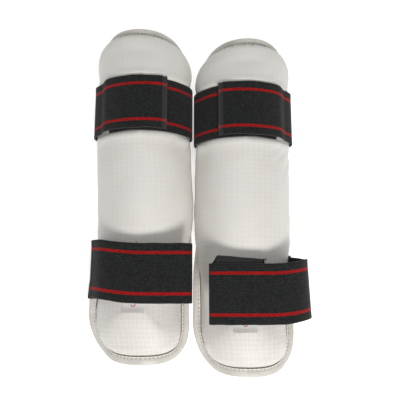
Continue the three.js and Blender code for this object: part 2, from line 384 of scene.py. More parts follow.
class Look:
    """A material as it is wired up."""

    def __init__(self, name, roughness, **fixed):
        self.material = bpy.data.materials.new(name)
        self.material.use_nodes = True
        self.tree = self.material.node_tree
        self.shader = self.tree.nodes["Principled BSDF"]
        self.shader.inputs["Roughness"].default_value = roughness
        for socket, value in fixed.items():
            self.shader.inputs[socket.replace("_", " ")].default_value = value
        place = self.node("ShaderNodeAttribute")
        place.attribute_name = "flat"
        self.flat = place.outputs["Vector"]
        parts = self.node("ShaderNodeSeparateXYZ", self.flat)
        self.u, self.v, self.w = parts.outputs

    def node(self, kind, *inputs):
        node = self.tree.nodes.new(kind)
        for socket, value in zip(node.inputs, inputs):
            self.feed(socket, value)
        return node

    def feed(self, socket, value):
        if isinstance(value, bpy.types.NodeSocket):
            self.tree.links.new(value, socket)
        elif value is not None:
            socket.default_value = value

    def math(self, operation, *inputs):
        node = self.node("ShaderNodeMath", *inputs)
        node.operation = operation
        return node.outputs[0]

    def eased(self, value, low, high, out_low=0.0, out_high=1.0):
        node = self.node("ShaderNodeMapRange")
        node.interpolation_type = "SMOOTHSTEP"
        for socket, given in zip(node.inputs, (value, low, high, out_low, out_high)):
            self.feed(socket, given)
        return node.outputs[0]

    def noise(self, size, detail=2.0, stretch=(1, 1, 1)):
        """Noise with features about size millimetres across, longer where stretch is over 1."""
        scaled = self.node("ShaderNodeVectorMath", self.flat, [1 / (size * s) for s in stretch])
        scaled.operation = "MULTIPLY"
        node = self.node("ShaderNodeTexNoise")
        self.feed(node.inputs["Vector"], scaled.outputs[0])
        node.inputs["Scale"].default_value = 1.0
        node.inputs["Detail"].default_value = detail
        return node.outputs["Fac"]

    def from_middle(self, value, pitch):
        """0 in the middle of each cell of this pitch, 1 on the line between two cells."""
        share = self.math("FRACT", self.math("DIVIDE", value, pitch))
        return self.math("ABSOLUTE", self.math("MULTIPLY_ADD", share, 2.0, -1.0))

    def blend(self, share, low, high):
        node = self.node("ShaderNodeMix")
        node.data_type = "RGBA"
        sockets = {socket.identifier: socket for socket in (*node.inputs, *node.outputs)}
        self.feed(sockets["Factor_Float"], share)
        self.feed(sockets["A_Color"], low)
        self.feed(sockets["B_Color"], high)
        return sockets["Result_Color"]

    def colour(self, value):
        self.feed(self.shader.inputs["Base Color"], value)

    def relief(self, height, depth):
        """Bump of this depth in millimetres, over the bumps that are there already."""
        node = self.node("ShaderNodeBump")
        node.inputs["Strength"].default_value = 1.0
        node.inputs["Distance"].default_value = depth * MM
        self.feed(node.inputs["Height"], height)
        normal = self.shader.inputs["Normal"]
        if normal.links:
            self.feed(node.inputs["Normal"], normal.links[0].from_socket)
        self.feed(normal, node.outputs["Normal"])


def rgb(red, green, blue):
    """A screen colour, 0 to 255, as the linear colour that sockets hold."""
    linear = [((c / 255 + 0.055) / 1.055) ** 2.4 for c in (red, green, blue)]
    return (*linear, 1.0)


GRID_ACROSS = 3.7
GRID_ALONG = 4.2


def cover_look():
    """White coated fabric embossed with a grid, with painted brown shade down in the seam and a
    painted highlight on its lines toward the foot end.
    """
    look = Look("cover_coated_fabric", 0.46, Specular_IOR_Level=0.4)
    across = look.from_middle(look.u, GRID_ACROSS)
    along = look.from_middle(look.v, GRID_ALONG)
    wide = look.math("SMOOTH_MAX", across, along, 0.3)
    line = look.eased(wide, 0.6, 0.98)
    # The grid lines are painted lighter: partly at random, as the fabric's own paler lines, and rising
    # toward the foot end as a painted highlight on the embossing
    foot_highlight = look.eased(look.v, -70, -110, 0.0, 0.55)
    patchy = look.math("ADD", look.eased(look.noise(38, 1.0), 0.35, 0.62, 0.2, 0.7), foot_highlight)
    embossed = look.math("MULTIPLY", line, patchy)
    tone = look.blend(embossed, rgb(220, 218, 213), rgb(227, 225, 221))
    stain = look.eased(look.noise(22, 3.0), 0.45, 0.75, 0.0, 0.35)
    stained = look.blend(stain, tone, rgb(212, 208, 200))
    # Painted brown shade where the cover dips down into the seam
    seam = look.eased(look.w, SEAM_INSET - SEAM_OVERHANG + 1, SEAM_INSET - SEAM_OVERHANG)
    look.colour(look.blend(look.math("MULTIPLY", seam, 0.9), stained, rgb(112, 96, 76)))
    look.relief(embossed, 0.055)
    look.relief(look.noise(0.7, 3.0), 0.035)
    return look.material


def binding_look():
    """Smooth white coated tape, faintly wrinkled across its length."""
    look = Look("binding_tape", 0.42, Specular_IOR_Level=0.45)
    wear = look.eased(look.noise(14, 3.0), 0.35, 0.7, 0.0, 0.6)
    tape = look.blend(wear, rgb(212, 209, 202), rgb(190, 186, 177))
    # The tape inward of its stitches is painted lighter: a painted highlight on its ridge
    ridge = look.eased(look.v, -STITCH_INSET - 0.2, -STITCH_INSET - 0.8)
    tape = look.blend(ridge, tape, rgb(233, 231, 226))
    beside = look.math("ABSOLUTE", look.math("ADD", look.v, STITCH_INSET))
    hole = look.math("MULTIPLY", look.eased(beside, 1.1, 0.3),
                     look.eased(look.from_middle(look.u, STITCH_PITCH), 0.5, 0.85))
    hole = look.math("MULTIPLY", hole, look.eased(look.noise(5), 0.3, 0.65, 0.15, 0.85))
    look.colour(look.blend(hole, tape, rgb(108, 96, 80)))
    look.relief(look.noise(1.6, 2.0, (3, 0.8, 1)), 0.12)
    look.relief(look.noise(0.5), 0.03)
    return look.material


def lining_look():
    """Brushed knit with fine ribs."""
    look = Look("lining_brushed_knit", 0.95, Sheen_Weight=0.35)
    rib = look.from_middle(look.u, 1.2)
    stitch = look.from_middle(look.v, 0.9)
    knit = look.math("MULTIPLY", rib, look.math("MULTIPLY_ADD", stitch, 0.4, 0.6))
    fuzz = look.noise(3.5, 4.0)
    shade = look.math("MULTIPLY_ADD", fuzz, 0.6, look.math("MULTIPLY", knit, 0.4))
    look.colour(look.blend(shade, rgb(214, 212, 206), rgb(176, 173, 166)))
    look.relief(knit, -0.18)
    look.relief(fuzz, 0.3)
    return look.material


def foam_look():
    look = Look("foam_cells", 0.95)
    cells = look.node("ShaderNodeTexVoronoi", look.flat)
    cells.inputs["Scale"].default_value = 1.1
    look.colour(look.blend(cells.outputs["Distance"], rgb(228, 216, 180), rgb(240, 231, 203)))
    look.relief(cells.outputs["Distance"], 0.3)
    return look.material


def strap_look():
    """Black woven elastic with two red lines, with a painted highlight: browner grey on its rims and
    lighter on a folded hem.
    """
    look = Look("strap_woven_elastic", 0.85, Sheen_Weight=0.06, Specular_IOR_Level=0.2)
    shifted = look.math("MULTIPLY_ADD", look.from_middle(look.u, 2.4), 0.55, look.v)
    thread = look.from_middle(shifted, 1.25)
    rib = look.from_middle(look.u, 1.05)
    weave = look.math("MULTIPLY", thread, rib)
    grain = look.noise(0.9, 3.0, (1.6, 1, 1))
    shade = look.eased(look.math("MULTIPLY_ADD", weave, 0.6, grain), 0.35, 1.1)
    black = look.blend(shade, rgb(8, 10, 9), rgb(50, 53, 52))
    red = look.blend(shade, rgb(122, 6, 8), rgb(186, 20, 20))
    ragged = look.math("MULTIPLY_ADD", rib, 0.35, look.math("ABSOLUTE", look.v))
    middle = STRAP_WIDTH / 2 - STRIPE_FROM_EDGE
    away = look.math("ABSOLUTE", look.math("SUBTRACT", ragged, middle + 0.15))
    line = look.eased(away, STRIPE_WIDTH / 2 + 0.15, STRIPE_WIDTH / 2 - 0.15)
    face = look.blend(line, black, red)
    from_middle = look.math("ABSOLUTE", look.math("SUBTRACT", look.w, STRAP_THICKNESS / 2))
    # The rims and a folded hem are painted lighter: a painted highlight on the strap's edges
    rim = look.eased(from_middle, 0.66, 0.45, 0.0, 0.8)
    hem = look.eased(look.w, STRAP_THICKNESS + 0.2, HEM_HIGHLIGHT_MARK, 0.0, 0.3)
    look.colour(look.blend(rim, look.blend(hem, face, rgb(86, 88, 87)), rgb(78, 72, 76)))
    look.relief(weave, 0.28)
    look.relief(grain, 0.12)
    return look.material


def hook_look():
    look = Look("hook_tape", 0.6)
    rows = look.math("MULTIPLY", look.from_middle(look.u, 1.3), look.from_middle(look.v, 1.1))
    tips = look.eased(rows, 0.25, 0.7)
    look.colour(look.blend(tips, rgb(9, 9, 10), rgb(36, 36, 38)))
    look.relief(tips, 0.5)
    return look.material


def label_look():
    """Smooth white woven ribbon."""
    look = Look("label_satin", 0.5, Sheen_Weight=0.2)
    weave = look.math("MULTIPLY", look.from_middle(look.u, 0.5), look.from_middle(look.v, 0.35))
    white = look.blend(weave, rgb(238, 237, 235), rgb(222, 221, 219))
    # Darker toward the lower end: painted shade of the curled lower end, and a stand-in for the dark
    # print that is left off
    lower_print_and_shade = look.eased(look.v, 0.5, -6.5, 0.0, 0.75)
    look.colour(look.blend(lower_print_and_shade, white, rgb(176, 172, 168)))
    look.relief(weave, 0.06)
    return look.material


def thread_look(name, dark, light):
    """Twisted thread."""
    look = Look(name, 0.6)
    twist = look.from_middle(look.math("ADD", look.u, look.v), 0.6)
    look.colour(look.blend(twist, dark, light))
    look.relief(twist, 0.08)
    return look.material


COVER = cover_look()
BINDING = binding_look()
LINING = lining_look()
FOAM = foam_look()
STRAP = strap_look()
HOOK = hook_look()
LABEL = label_look()
WHITE_THREAD = thread_look("thread_white", rgb(190, 187, 180), rgb(236, 234, 230))
BLACK_THREAD = thread_look("thread_black", rgb(10, 10, 11), rgb(38, 38, 40))
RED_THREAD = thread_look("thread_red", rgb(196, 60, 66), rgb(214, 84, 88))


# ---- the sewn body of a guard ----

# Insets of the rings under the binding and up the swell, and how far toward the spine the
# rings past the shoulder go
BORDER_INSETS = [0.3, 3, 5.6, 6.5, 6.75, 7.3, 8.1]
SWELL_SHARES = np.linspace(0, 1, 8)
INWARD_SHARES = np.linspace(0.12, 1, 8)
SPINE_SHARE = 0.8


def pattern_rings(first_inset, side_steps=36, end_steps=26):
    """Rings of (across, along, inset, inward) from first_inset in to the spine."""
    edge, outward = pattern_edge(side_steps, end_steps)
    swell = first_inset + (SHOULDER_INSET - first_inset) * (1 - np.cos(SWELL_SHARES * math.pi / 2))
    insets = [inset for inset in BORDER_INSETS if inset < first_inset] + list(swell)
    shoulder = edge - outward * SHOULDER_INSET
    spine = shoulder * (0, SPINE_SHARE)
    rings = [(edge - outward * inset, inset, 0) for inset in insets]
    rings += [(mix(shoulder, spine, share), SHOULDER_INSET + share, share) for share in INWARD_SHARES]
    rows = (len(edge), 1)
    return np.array([np.hstack([at, np.tile((inset, inward), rows)]) for at, inset, inward in rings])


def level(height):
    """One side of a pad that is the same height all over."""
    return lambda inset, inward, along: height


def pad(guard, name, rings, low_at, high_at, material):
    """A closed body of the pattern between two heights."""
    across, along, inset, inward = np.moveaxis(rings, -1, 0)
    layers = [on_guard(guard, across, along, height_at(inset, inward, along))
              for height_at in (low_at, high_at)]
    rows, columns = across.shape
    count = rows * columns
    sheet = grid_faces(rows, columns)
    faces = [tuple(reversed(face)) for face in sheet]
    faces += [tuple(corner + count for corner in face) for face in sheet]
    for j in range(columns):
        k = (j + 1) % columns
        faces.append((j, k, k + count, j + count))
    flat = np.concatenate([rings[..., :3].reshape(-1, 3)] * 2)
    return new_piece(f"{guard['name']}_{name}", layers, faces, flat, material)


# How far the foam may push the cover out between its seams and straps, and how long it pushes
SWELL_CAP = 1.6
CLOTH_FRAMES = 20
CLOTH = {
    "quality": 6, "mass": 0.25, "tension_stiffness": 12, "compression_stiffness": 12,
    "shear_stiffness": 6, "bending_stiffness": 0.15, "vertex_group_mass": "held",
    "use_pressure": True, "uniform_pressure_force": 4, "shrink_min": -0.012,
}


def mark(piece, group_name, chosen):
    group = piece.vertex_groups.new(name=group_name)
    group.add(np.flatnonzero(chosen).tolist(), 1.0, "REPLACE")


def inflate(piece, held, free):
    """Blow the pad's loose cloth out against its seams, where free lets it go."""
    before = read_points(piece)
    mark(piece, "held", held)
    cloth = piece.modifiers.new("cloth", "CLOTH")
    for setting, value in CLOTH.items():
        setattr(cloth.settings, setting, value)
    cloth.settings.effector_weights.gravity = 0
    cloth.collision_settings.use_collision = False
    cloth.point_cache.frame_start = 1
    cloth.point_cache.frame_end = CLOTH_FRAMES
    for step in range(1, CLOTH_FRAMES + 1):
        bpy.context.scene.frame_set(step)
    apply_modifiers(piece)
    bpy.context.scene.frame_set(1)
    moved = read_points(piece) - before
    length = np.linalg.norm(moved, axis=1, keepdims=True)
    limit = SWELL_CAP * MM
    eased = limit * np.tanh(length / limit) / np.maximum(length, 1e-9)
    write_points(piece, before + moved * eased * free[:, None])


def seam_waves(flat, pitch):
    """Gathers that the stitches pull in the cloth, one a stitch and uneven in depth."""
    edge, _, _ = even_edge(1.0)
    near = np.flatnonzero(flat[:, 2] < SEAM_INSET + 9)
    waves = np.zeros(len(flat))
    away = np.linalg.norm(flat[near, None, :2] - edge[None], axis=2)
    run = away.argmin(axis=1).astype(float)
    depth = 0.55 + 0.45 * ripple(run / 7, 0, 5)
    waves[near] = depth * np.sin(2 * math.pi * run / pitch + 1.5 * np.sin(run / 11))
    return waves


def strap_press(guard, flat):
    """How hard each place of the front lies under a strap, 0 to 1."""
    across, along, _ = flat.T
    upper, lower = (smooth(np.abs(along - middle), STRAP_WIDTH / 2 + 5, STRAP_WIDTH / 2 - 1)
                    for middle in (STRAP_CENTRE + guard["strap_lift"], -STRAP_CENTRE))
    beside = smooth(across, half_width_at(along) - 29, half_width_at(along) - 17)
    return np.maximum(upper, lower * beside)


# Soft dents and swellings of the front, (across, along, width, length, turn, depth). Both guards have
# the side creases on the right as they lie, so the left one mirrors them.
SIDE_CREASES = [
    (31, 41, 2.6, 13, -0.75, -1.0), (37, 33, 2.8, 13, -0.6, -0.9), (34, 42, 3.0, 9, -0.7, 0.9),
    (42, 24, 3.0, 12, -0.45, -0.6), (26, 46, 3.2, 12, -0.8, -0.8),
]
FRONT_CREASES = [
    (12, 43, 5, 14, -0.3, -0.4), (-3, -38, 7, 22, 0.2, -0.35),
    (22, -30, 7, 26, -0.15, -0.4), (-24, -22, 6, 24, 0.2, -0.4), (10, 8, 9, 30, 0.05, -0.3),
    (18, 116, 5, 14, -0.6, -0.4), (-14, 112, 6, 12, 0.4, -0.35), (-20, -112, 6, 12, -0.6, -0.3),
]


def crease_depth(guard, flat):
    across, along, _ = flat.T
    side = guard["side"]
    depth = 0.22 * ripple(across / 13, along / 17, 11 + side)
    depth = depth + 0.12 * ripple(across / 6, along / 7, 12 + side)
    creases = [(side * at, height, width, length, side * turn, amount)
               for at, height, width, length, turn, amount in SIDE_CREASES]
    for at, height, width, length, turn, amount in creases + FRONT_CREASES:
        x = (across - at) * math.cos(turn) + (along - height) * math.sin(turn)
        y = (along - height) * math.cos(turn) - (across - at) * math.sin(turn)
        depth = depth + amount * bump_at(x, 0, width) * bump_at(y, 0, length)
    return depth


# How deep the cover gathers at a stitch, gives under a strap and is pushed up beside one
GATHER_DEPTH = 0.42
PRESS_DEPTH = 0.25
PUSHED_UP = 1.3


def cover_lift(guard, flat):
    """How far out the cover's face moves: gathers, creases, and the dents and bulges by a strap."""
    start = SEAM_INSET - SEAM_OVERHANG
    press = strap_press(guard, flat)
    slope = bump_at(flat[:, 2], start + 2.6, 3.0)
    gathers = GATHER_DEPTH * seam_waves(flat, STITCH_PITCH) * slope
    creases = crease_depth(guard, flat) * (1 - press) * (1 - slope)
    pressed = press * (taut(flat[:, 0]) * (flat[:, 1] > 0) - PRESS_DEPTH)
    from_strap = np.abs(flat[:, 1] - STRAP_CENTRE - guard["strap_lift"]) - STRAP_WIDTH / 2
    beside = bump_at(from_strap, 3.5, 4.5) * smooth(from_strap, -1, 1.5)
    pushed_up = PUSHED_UP * beside * smooth(flat[:, 2], SEAM_INSET + 3, SEAM_INSET + 12)
    return (gathers + creases + pressed + pushed_up) * smooth(flat[:, 2], start, start + 1.8)


def front_cover(guard):
    """Coated fabric stretched over the foam, drawn down at the seam and under the straps."""
    cover = pad(guard, "cover_fabric", pattern_rings(SEAM_INSET), level(COVER_UNDERSIDE),
                cover_height, COVER)
    flat = read_flat(cover)
    held = (flat[:, 2] < SEAM_INSET + 0.2) | underside_of(guard, flat, read_points(cover))
    inflate(cover, held, 1 - strap_press(guard, flat))
    relax(cover, (flat[:, 2] > 13) & ~underside_of(guard, flat, read_points(cover)), 8)
    subdivide(cover, 2)
    flat = read_flat(cover)
    points = read_points(cover)
    normals = read_vectors(cover.data.vertices, "normal")
    lift = cover_lift(guard, flat) * ~underside_of(guard, flat, points)
    write_points(cover, points + normals * (lift * MM)[:, None])
    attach(cover, f"{guard['name']}_guard")
    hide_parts(f"{guard['name']}_front_cover")


def relax(piece, loose, rounds):
    """Even out the loose part of the mesh."""
    mark(piece, "loose", loose)
    modifier = piece.modifiers.new("relax", "SMOOTH")
    modifier.factor = 0.5
    modifier.iterations = rounds
    modifier.vertex_group = "loose"
    apply_modifiers(piece)


def underside_of(guard, flat, points):
    """True where a vertex is nearer the cover's underside than its face."""
    away = points - on_guard(guard, flat[:, 0], flat[:, 1], COVER_UNDERSIDE)
    return np.linalg.norm(away, axis=1) < 0.4 * MM


# The foam starts this far inside the seam, and its face is this far below the cover's
FOAM_INSET = 3.5
FOAM_DEPTH = 3.2


def foam_core(guard):
    rings = pattern_rings(SEAM_INSET + FOAM_INSET)
    rings = rings[rings[:, 0, 2] > SEAM_INSET + FOAM_INSET - 0.5]
    foam = pad(
        guard, "foam_pad", rings, level(LINING_TOP + 0.7),
        lambda inset, inward, along: cover_height(inset, inward, along) - FOAM_DEPTH + 0.02 * inset,
        FOAM)
    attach(foam, f"{guard['name']}_guard")
    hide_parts(f"{guard['name']}_foam_core")


def back_lining(guard):
    rings = pattern_rings(SEAM_INSET, 60, 40)
    waves = seam_waves(rings.reshape(-1, 4)[:, :3], STITCH_PITCH).reshape(rings.shape[:2])

    def low(inset, inward, along):
        soft = smooth(inset, 4, 16) * smooth(along, -150, -140) * smooth(along, 150, 140)
        quilt = 0.3 * ripple(inset / 9 + along / 15, along / 21, 3)
        return 0.35 + (0.25 + quilt) * soft + 0.18 * waves * bump_at(inset, SEAM_INSET, 3)

    lining = pad(guard, "lining_fabric", rings, low, level(LINING_TOP), LINING)
    subdivide(lining, 1)
    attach(lining, f"{guard['name']}_guard")
    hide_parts(f"{guard['name']}_back_lining")


# ---- thread ----

# Corners round a thread, rings along a stitch, and the radius of the binding's thread
THREAD_SIDES = 6
THREAD_RINGS = 7
THREAD_RADIUS = 0.36


def stitch_row(guard, name, body, places, ways, normals, length, radius, material):
    """One mesh of short stitches, each rising out of the cloth and diving back into it."""
    shares = np.linspace(-1, 1, THREAD_RINGS)
    turns = np.linspace(0, 2 * math.pi, THREAD_SIDES, endpoint=False)
    sides = np.cross(ways, normals)
    points = []
    faces = []
    flat = []
    for place, way, normal, side in zip(places, ways, normals, sides):
        first = len(points)
        for share in shares:
            thick = radius * math.sqrt(1 - 0.6 * share ** 2)
            lift = radius * (0.9 - 1.7 * share ** 2)
            middle = place + (way * share * length / 2 + normal * lift) * MM
            for turn in turns:
                round_it = side * math.cos(turn) + normal * math.sin(turn)
                points.append(middle + round_it * thick * MM)
                flat.append((share * length / 2, turn * radius, 0))
        corners = grid_faces(THREAD_RINGS, THREAD_SIDES)
        faces += [tuple(first + corner for corner in face) for face in corners]
        faces.append(tuple(range(first, first + THREAD_SIDES)))
        faces.append(tuple(range(len(points) - THREAD_SIDES, len(points))))
    row = new_piece(f"{guard['name']}_{name}", points, faces, flat, material)
    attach(row, f"{guard['name']}_{body}")


# ---- binding ----

BINDING_THICKNESS = 0.75
ROUND_STEPS = 7
# What the back half adds to its place across the tape in "flat", so that it gets no stitch holes
BACK_MARK = 20


def binding_section():
    """(outward, height) round the folded tape, puffed between its edge and its stitches.

    It goes from the front's inner edge, round the guard's edge, to the lining's inner edge, and
    back along the tape's inner face.
    """
    ridge = -(STITCH_INSET + BINDING_WIDTH) / 2
    front = [(-BINDING_WIDTH - 0.1, 2.6), (-BINDING_WIDTH + 0.1, 3.3), (ridge, 3.45),
             (-STITCH_INSET, 2.65), (-3.9, 3.3), (-2.6, 3.6), (-1.4, 3.5)]
    turns = np.linspace(1.05, -1.05, ROUND_STEPS)
    edge = [(-0.3 + 1.75 * math.cos(turn), 1.15 + 2.35 * math.sin(turn)) for turn in turns]
    back = [(-1.4, -1.15), (-2.6, -1.2), (-3.9, -1.15), (-STITCH_INSET, -0.85), (ridge, -1.1),
            (-BINDING_WIDTH, -1.05), (-BINDING_WIDTH - 0.1, -0.95)]
    outer = np.array(front + edge + back)
    out, up = outer.T
    inner = np.column_stack([out - np.where(out > -1.3, 0.8 * BINDING_THICKNESS, 0),
                             up + np.sign(1.15 - up) * BINDING_THICKNESS])
    return np.vstack([outer, inner[::-1]])


def edge_binding(guard):
    """Tape folded over the edge and stitched through, gathered a little at each stitch."""
    steps = 4
    edge, outward, pitch = even_edge(STITCH_PITCH / steps)
    section = binding_section()
    count = len(section)
    outer = np.arange(count) < count / 2
    run = np.arange(len(edge)) * pitch
    gather = np.cos(2 * math.pi * np.arange(len(edge)) / steps)
    wander = ripple(run / 13, 0, 21 + guard["side"])
    fine = ripple(run / 4.1, 0, 33 + guard["side"])
    loops = []
    flat = []
    for (out_of_edge, height), outside in zip(section, outer):
        face = np.sign(height - 1) * outside
        beside = bump_at(out_of_edge, -STITCH_INSET, 1.6) * face
        puff = bump_at(out_of_edge, -2.6, 2.2) * face
        own = height + 0.36 * beside * gather * (1 + 0.6 * fine) + puff * (0.24 * fine - 0.12 * gather)
        at = edge + outward * (out_of_edge + 0.22 * wander)[:, None]
        loops.append(on_guard(guard, *at.T, own))
        across_tape = out_of_edge + BACK_MARK * (height < 1)
        flat.append([(place, across_tape, height) for place in run])
    points = np.stack(loops, axis=1)
    faces = grid_faces(len(edge), count, rows_close=True)
    name = guard["name"]
    tape = new_piece(f"{name}_binding_tape", points, faces, np.stack(flat, axis=1), BINDING)
    subdivide(tape, 1)
    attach(tape, f"{name}_guard")
    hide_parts(f"{name}_edge_binding")
    binding_stitches(guard)


def binding_stitches(guard):
    edge, outward, pitch = even_edge(STITCH_PITCH)
    across, along = (edge - outward * STITCH_INSET).T
    for face, height, lift in (("front", 3.05, 1), ("back", -0.95, -1)):
        places = on_guard(guard, across, along, height)
        ways = unit(np.roll(places, -1, axis=0) - np.roll(places, 1, axis=0))
        off_ground = places[:, 2] > 0.8 * MM
        normals = unit((on_guard(guard, across, along, height + lift) - places)[off_ground])
        stitch_row(
            guard, f"{face}_binding_stitches", "guard", places[off_ground], ways[off_ground],
            normals, 0.72 * pitch, THREAD_RADIUS, WHITE_THREAD)


# ---- straps ----

# Round an edge of the guard, from the sewn root on the lining to the border's outer face
WRAP_SECTION = [
    (-ROOT_INSET, -0.7), (-19, -0.7), (-9.5, -0.7), (-7.4, -1.7),
    (-0.2, -1.7), (1.9, -0.6), (1.9, 2.8), (-0.2, 4.1), (-7, 4.1),
]
FRONT_INSET = 10.5
ROUTE_STEP = 1.2
STRAP_STEP = 1.3
# A strap curls along its rims, except near its sewn ends
RIM_WIDTH = 5
SEWN_RUN = 6
PATCH_LIFT = GAP + STRAP_THICKNESS + GAP
FLAP_LIFT = PATCH_LIFT + PATCH_THICKNESS + GAP
TAIL_DROP = GAP + PATCH_THICKNESS + GAP


def spline(points, steps=14):
    """A smooth curve through the points, with the share of its spans as a third column."""
    points = np.array(points, float)
    last = len(points) - 1
    rows = []
    for share in np.linspace(0, 1, steps * last + 1):
        k = min(int(share * last), last - 1)
        t = share * last - k
        before, a, b, after = points[max(k - 1, 0)], points[k], points[k + 1], points[min(k + 2, last)]
        way_in, way_out = (b - before) / 2, (after - a) / 2
        at = ((2 * a - 2 * b + way_in + way_out) * t ** 3
              + (3 * b - 3 * a - 2 * way_in - way_out) * t ** 2 + way_in * t + a)
        rows.append((*at, share))
    return np.array(rows)


def cut_corners(route):
    for _ in range(3):
        a, b = route[:-1], route[1:]
        inner = np.stack([0.75 * a + 0.25 * b, 0.25 * a + 0.75 * b], axis=1).reshape(-1, 3)
        route = np.vstack([route[:1], inner, route[-1:]])
    return route


def with_share(out, up, share=0.0):
    return np.stack([out, up, np.full(np.shape(out), share)], axis=-1)


def wrap_route(guard, edge_side, along):
    outward, height = np.array(WRAP_SECTION).T
    across = edge_side * (half_width_at(along) + outward)
    route = with_share(*bend(guard, across, along, height))
    return cut_corners(route if edge_side > 0 else route[::-1])


def front_route(guard, start, stop, lift_at, along):
    across = np.linspace(start, stop, max(2, round(abs(start - stop) / ROUTE_STEP)))
    height = front_height(across, along) + lift_at(across)
    return with_share(*bend(guard, across, along, height))


def strap_section(width, thickness, steps):
    """(offset, height) round a flat strap with rounded edges, inner face first."""
    radius = thickness / 2
    offsets = np.linspace(radius - width / 2, width / 2 - radius, steps)
    turns = np.linspace(-math.pi / 2, math.pi / 2, 5)[1:-1]
    inner = [(offset, 0) for offset in offsets]
    right = [(offsets[-1] + radius * math.cos(t), radius + radius * math.sin(t)) for t in turns]
    outer = [(offset, thickness) for offset in offsets[::-1]]
    left = [(-offset, thickness - height) for offset, height in right]
    return inner + right + outer + left


def ribbon(guard, name, route_at, middle, material, slot, body=None, width=STRAP_WIDTH,
           thickness=STRAP_THICKNESS, shift_at=None, curl=0.25, seed=0, step=STRAP_STEP, hem=0):
    """A strap whose inner face follows route_at(along) at each place across its width."""
    steps = max(4, round(width / 2.2))
    section = strap_section(width, thickness, steps)
    count = round(run_along(route_at(middle))[-1] / step) + 1
    loops = []
    flat = []
    for offset, height in section:
        route = even_route(route_at(middle + offset), count)
        run = run_along(route)
        way = np.gradient(route[:, :2], axis=0)
        normal = unit(np.stack([way[:, 1], -way[:, 0]], axis=1))
        rim = smooth(abs(offset), width / 2 - RIM_WIDTH, width / 2)
        edge = np.sign(offset)
        wave = curl * (0.5 * ripple(run / 11, offset / 12, seed)
                       + rim * (0.6 + 0.8 * ripple(run / 5, edge * 9, seed + 1)))
        loose = smooth(run, 0, SEWN_RUN) * smooth(run[-1] - run, 0, SEWN_RUN)
        sewn_down = hem * bump_at(run, run[-1] - HEM_INSET, 0.7) if height else 0
        lift = height + np.maximum(wave, 0) * loose - sewn_down
        along = middle + offset + 0.3 * edge * rim * loose * ripple(run / 6, edge * 5, seed)
        if shift_at is not None:
            along = along + shift_at(route)
        out, up = (route[:, :2] + normal * lift[:, None]).T
        loops.append(in_space(guard, out, along, up))
        folded = HEM_HIGHLIGHT_MARK * (hem > 0) * smooth(run, run[-1] - HEM_WIDTH - 1, run[-1] - HEM_WIDTH)
        flat.append(np.column_stack([run, np.full(count, offset), height + folded]))
    points = np.stack(loops, axis=1)
    around = len(section)
    faces = grid_faces(count, around)
    for row in (0, count - 1):
        pairs = [(row * around + j, row * around + 2 * steps + 2 - j) for j in range(steps)]
        faces += [(a[0], b[0], b[1], a[1]) for a, b in zip(pairs, pairs[1:])]
        faces.append(tuple(row * around + steps - 1 + j for j in range(5)))
        faces.append(tuple(row * around + (j + 2 * steps + 2) % around for j in range(5)))
    strap = new_piece(f"{guard['name']}_{name}", points, faces, np.stack(flat, axis=1), material)
    strap.data.set_sharp_from_angle(angle=math.radians(62))
    if body:
        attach(strap, f"{guard['name']}_{body}")
    return strap


# How far a strap's inner face lies above the cover, at each place across the guard

def on_cover(across):
    return GAP


def taut(across):
    """How a pulled strap leaves the arch: up on the outer shoulder, in between the shoulders."""
    return 1.1 * bump_at(across, 38, 6) - 1.2 * bump_at(across, 9, 17) - 0.7 * bump_at(across, -34, 8)


def flap_lift(across):
    return mix(GAP, FLAP_LIFT, smooth(across, 31, LOOP_END + 1)) + taut(across)


def taut_at(height):
    return lambda across: height + taut(across)


def blend_up(guard, piece, low_body, high_body, low, high):
    """Bakes the piece's transform into its mesh."""
    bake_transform(piece)


# Heights between which the upper strap turns into its flap, and how far askew the flap lies
FLAP_TURNS = (26, 34)
FLAP_SHIFT = 1.6


def flap_shift(route):
    return FLAP_SHIFT * smooth(route[:, 1], 30, 48)


def upper_straps(guard):
    name = guard["name"]
    middle = STRAP_CENTRE + guard["strap_lift"]
    strap = ribbon(guard, "upper_strap_flap", lambda along: np.vstack([
        wrap_route(guard, 1, along),
        front_route(guard, half_width_at(along) - FRONT_INSET, FLAP_END, flap_lift, along),
    ]), middle, STRAP, "strap", shift_at=flap_shift, seed=4, curl=0.35, hem=0.9)
    blend_up(guard, strap, "guard", "upper_flap", *FLAP_TURNS)
    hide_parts(f"{name}_upper_strap_base", f"{name}_upper_hook_flap")
    loop = ribbon(guard, "upper_strap_loop", lambda along: np.vstack([
        front_route(guard, LOOP_END, FRONT_INSET - half_width_at(along), taut_at(GAP), along),
        wrap_route(guard, -1, along),
    ]), middle, STRAP, "strap", "guard", seed=6)
    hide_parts(f"{name}_upper_loop_strap")
    hooks = ribbon(guard, "upper_hooks", lambda along: front_route(
        guard, PATCH_REACH, -PATCH_REACH + 0.6, taut_at(PATCH_LIFT), along,
    ), middle, HOOK, "hook", "upper_flap", width=STRAP_WIDTH - 3, thickness=PATCH_THICKNESS,
        shift_at=flap_shift, curl=0)
    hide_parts(f"{name}_upper_hook_patch")
    hem_stitches(guard, middle + FLAP_SHIFT)


HEM_STITCH_PITCH = 2.9


def hem_stitches(guard, middle):
    """A row of black stitches through the hem at the flap's end."""
    along = np.arange(-22, 22.1, HEM_STITCH_PITCH) + middle
    across = np.full(len(along), FLAP_END + HEM_INSET)
    height = front_height(across, along) + flap_lift(FLAP_END) + STRAP_THICKNESS - 0.4
    low, high = (on_guard(guard, across, along, height + rise) for rise in (0, 1))
    ways = np.tile([0.0, 1.0, 0.0], (len(along), 1))
    stitch_row(guard, "flap_hem_stitches", "upper_flap", low, ways, (high - low) / MM, 1.9, 0.42,
               BLACK_THREAD)


